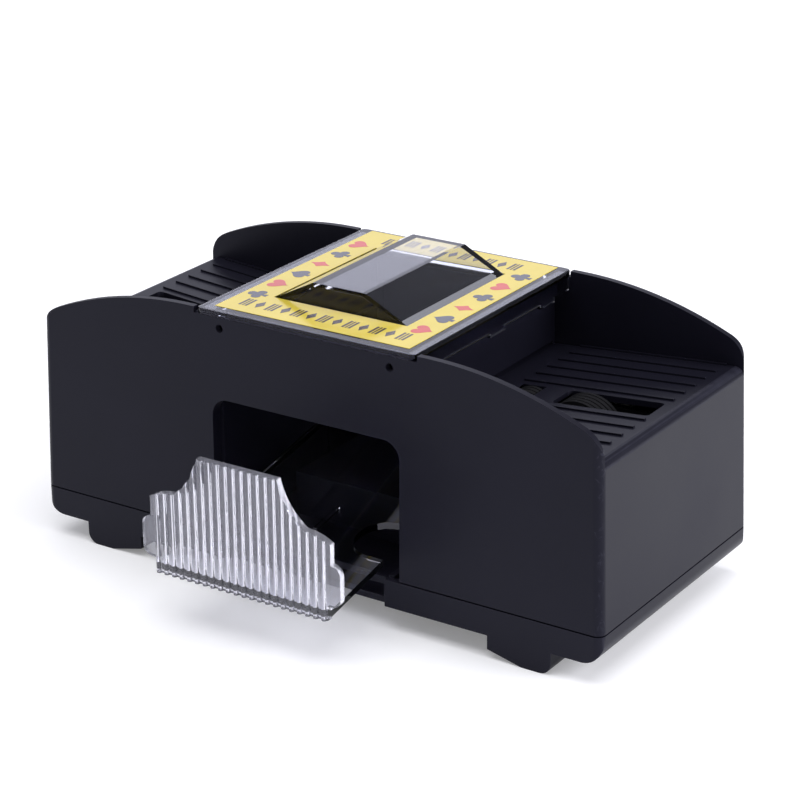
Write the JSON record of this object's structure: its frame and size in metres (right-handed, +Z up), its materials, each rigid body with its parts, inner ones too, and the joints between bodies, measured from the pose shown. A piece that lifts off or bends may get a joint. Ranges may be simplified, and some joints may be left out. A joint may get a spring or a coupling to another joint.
{
  "type": "automatic card shuffler",
  "caption": "Battery card shuffler with sloping side trays, motorised feed rollers, clear lift-off cover and a clear pull-out card drawer.",
  "frame": {"origin": "middle of the footprint, on the plane the feet stand on", "axes": "+X along the body towards its right-hand tray, -Y towards the drawer, +Z up"},
  "size_m": [0.218, 0.1361, 0.1025],
  "materials": {
    "black_shell": "satin black moulded ABS",
    "clear_plastic": "clear polystyrene",
    "printed_sheet": "printed yellow film",
    "dark_plastic": "black acetal",
    "white_plastic": "natural acetal",
    "roller_rubber": "soft rubber",
    "steel": "zinc-plated steel",
    "spring_steel": "spring steel",
    "motor_steel": "plated steel can",
    "brass_bush": "sintered bronze",
    "cell_jacket": "battery jacket"
  },
  "bodies": {
    "body_shell": {"housing_shell": "black_shell", "base_tray": "black_shell", "battery_cells": "cell_jacket", "battery_plates": "steel", "battery_springs": "spring_steel", "switch_body": "dark_plastic", "base_screws": "steel", "button_spring": "spring_steel", "roller_bracket_left": "dark_plastic", "bracket_screws_left": "steel", "shaft_bushes_left": "brass_bush", "idler_pin_left": "steel", "compound_pin_left": "steel", "motor_can_left": "motor_steel", "motor_endcap_left": "white_plastic", "roller_bracket_right": "dark_plastic", "bracket_screws_right": "steel", "shaft_bushes_right": "brass_bush", "idler_pin_right": "steel", "compound_pin_right": "steel", "motor_can_right": "motor_steel", "motor_endcap_right": "white_plastic"},
    "drawer": {"card_drawer": "clear_plastic"},
    "cover": {"top_cover": "clear_plastic", "cover_sheet": "printed_sheet"},
    "bottom_door": {"battery_door": "black_shell"},
    "push_button": {"button_cap": "dark_plastic", "switch_plunger": "white_plastic"},
    "feed_roller_left": {"feed_shaft_left": "steel", "feed_hub_left": "white_plastic", "feed_tyre_left": "roller_rubber", "feed_gear_left": "white_plastic"},
    "exit_roller_left": {"exit_shaft_left": "steel", "exit_hub_left": "white_plastic", "exit_tyre_left": "roller_rubber", "exit_gear_left": "white_plastic"},
    "idler_left": {"idler_gear_left": "white_plastic"},
    "compound_left": {"compound_gear_left": "white_plastic"},
    "rotor_left": {"motor_shaft_left": "steel", "motor_pinion_left": "brass_bush"},
    "feed_roller_right": {"feed_shaft_right": "steel", "feed_hub_right": "white_plastic", "feed_tyre_right": "roller_rubber", "feed_gear_right": "white_plastic"},
    "exit_roller_right": {"exit_shaft_right": "steel", "exit_hub_right": "white_plastic", "exit_tyre_right": "roller_rubber", "exit_gear_right": "white_plastic"},
    "idler_right": {"idler_gear_right": "white_plastic"},
    "compound_right": {"compound_gear_right": "white_plastic"},
    "rotor_right": {"motor_shaft_right": "steel", "motor_pinion_right": "brass_bush"}
  },
  "joints": [
    {"name": "drawer_slide", "type": "slide", "parent": "body_shell", "child": "drawer", "axis": [0, -1, 0], "range_m": [-0.0325, 0.0125]},
    {"name": "cover_lift", "type": "slide", "parent": "body_shell", "child": "cover", "axis": [0, 0, 1], "range_m": [0, 0.03]},
    {"name": "door_release", "type": "slide", "parent": "body_shell", "child": "bottom_door", "axis": [0, 0, -1], "range_m": [0, 0.025]},
    {"name": "button_press", "type": "slide", "parent": "body_shell", "child": "push_button", "axis": [0, -1, 0], "range_m": [0, 0.002], "stiffness_N_per_m": 300, "springref_m": -0.001, "deforming": ["button_spring"]},
    {"name": "feed_roller_spin_left", "type": "hinge", "parent": "body_shell", "child": "feed_roller_left", "pos_m": [-0.0745, 0, 0.05985], "axis": [0, -1, 0], "continuous": true},
    {"name": "exit_roller_spin_left", "type": "hinge", "parent": "body_shell", "child": "exit_roller_left", "pos_m": [-0.0535, 0, 0.06187], "axis": [0, -1, 0], "continuous": true},
    {"name": "idler_spin_left", "type": "hinge", "parent": "body_shell", "child": "idler_left", "pos_m": [-0.06184, 0, 0.05585], "axis": [0, -1, 0], "continuous": true},
    {"name": "compound_spin_left", "type": "hinge", "parent": "body_shell", "child": "compound_left", "pos_m": [-0.07732, 0, 0.04934], "axis": [0, -1, 0], "continuous": true},
    {"name": "rotor_spin_left", "type": "hinge", "parent": "body_shell", "child": "rotor_left", "pos_m": [-0.07732, 0, 0.03546], "axis": [0, -1, 0], "continuous": true},
    {"name": "feed_roller_spin_right", "type": "hinge", "parent": "body_shell", "child": "feed_roller_right", "pos_m": [0.0745, 0, 0.05985], "axis": [0, -1, 0], "continuous": true},
    {"name": "exit_roller_spin_right", "type": "hinge", "parent": "body_shell", "child": "exit_roller_right", "pos_m": [0.0535, 0, 0.06187], "axis": [0, -1, 0], "continuous": true},
    {"name": "idler_spin_right", "type": "hinge", "parent": "body_shell", "child": "idler_right", "pos_m": [0.06184, 0, 0.05585], "axis": [0, -1, 0], "continuous": true},
    {"name": "compound_spin_right", "type": "hinge", "parent": "body_shell", "child": "compound_right", "pos_m": [0.07732, 0, 0.04934], "axis": [0, -1, 0], "continuous": true},
    {"name": "rotor_spin_right", "type": "hinge", "parent": "body_shell", "child": "rotor_right", "pos_m": [0.07732, 0, 0.03546], "axis": [0, -1, 0], "continuous": true}
  ],
  "couplings": [
    {"joint": "idler_spin_left", "follows": "feed_roller_spin_left", "ratio": -1.2},
    {"joint": "exit_roller_spin_left", "follows": "feed_roller_spin_left", "ratio": 1.7143},
    {"joint": "compound_spin_left", "follows": "feed_roller_spin_left", "ratio": -2},
    {"joint": "rotor_spin_left", "follows": "feed_roller_spin_left", "ratio": 7.2},
    {"joint": "idler_spin_right", "follows": "feed_roller_spin_right", "ratio": -1.2},
    {"joint": "exit_roller_spin_right", "follows": "feed_roller_spin_right", "ratio": 1.7143},
    {"joint": "compound_spin_right", "follows": "feed_roller_spin_right", "ratio": -2},
    {"joint": "rotor_spin_right", "follows": "feed_roller_spin_right", "ratio": 7.2}
  ]
}
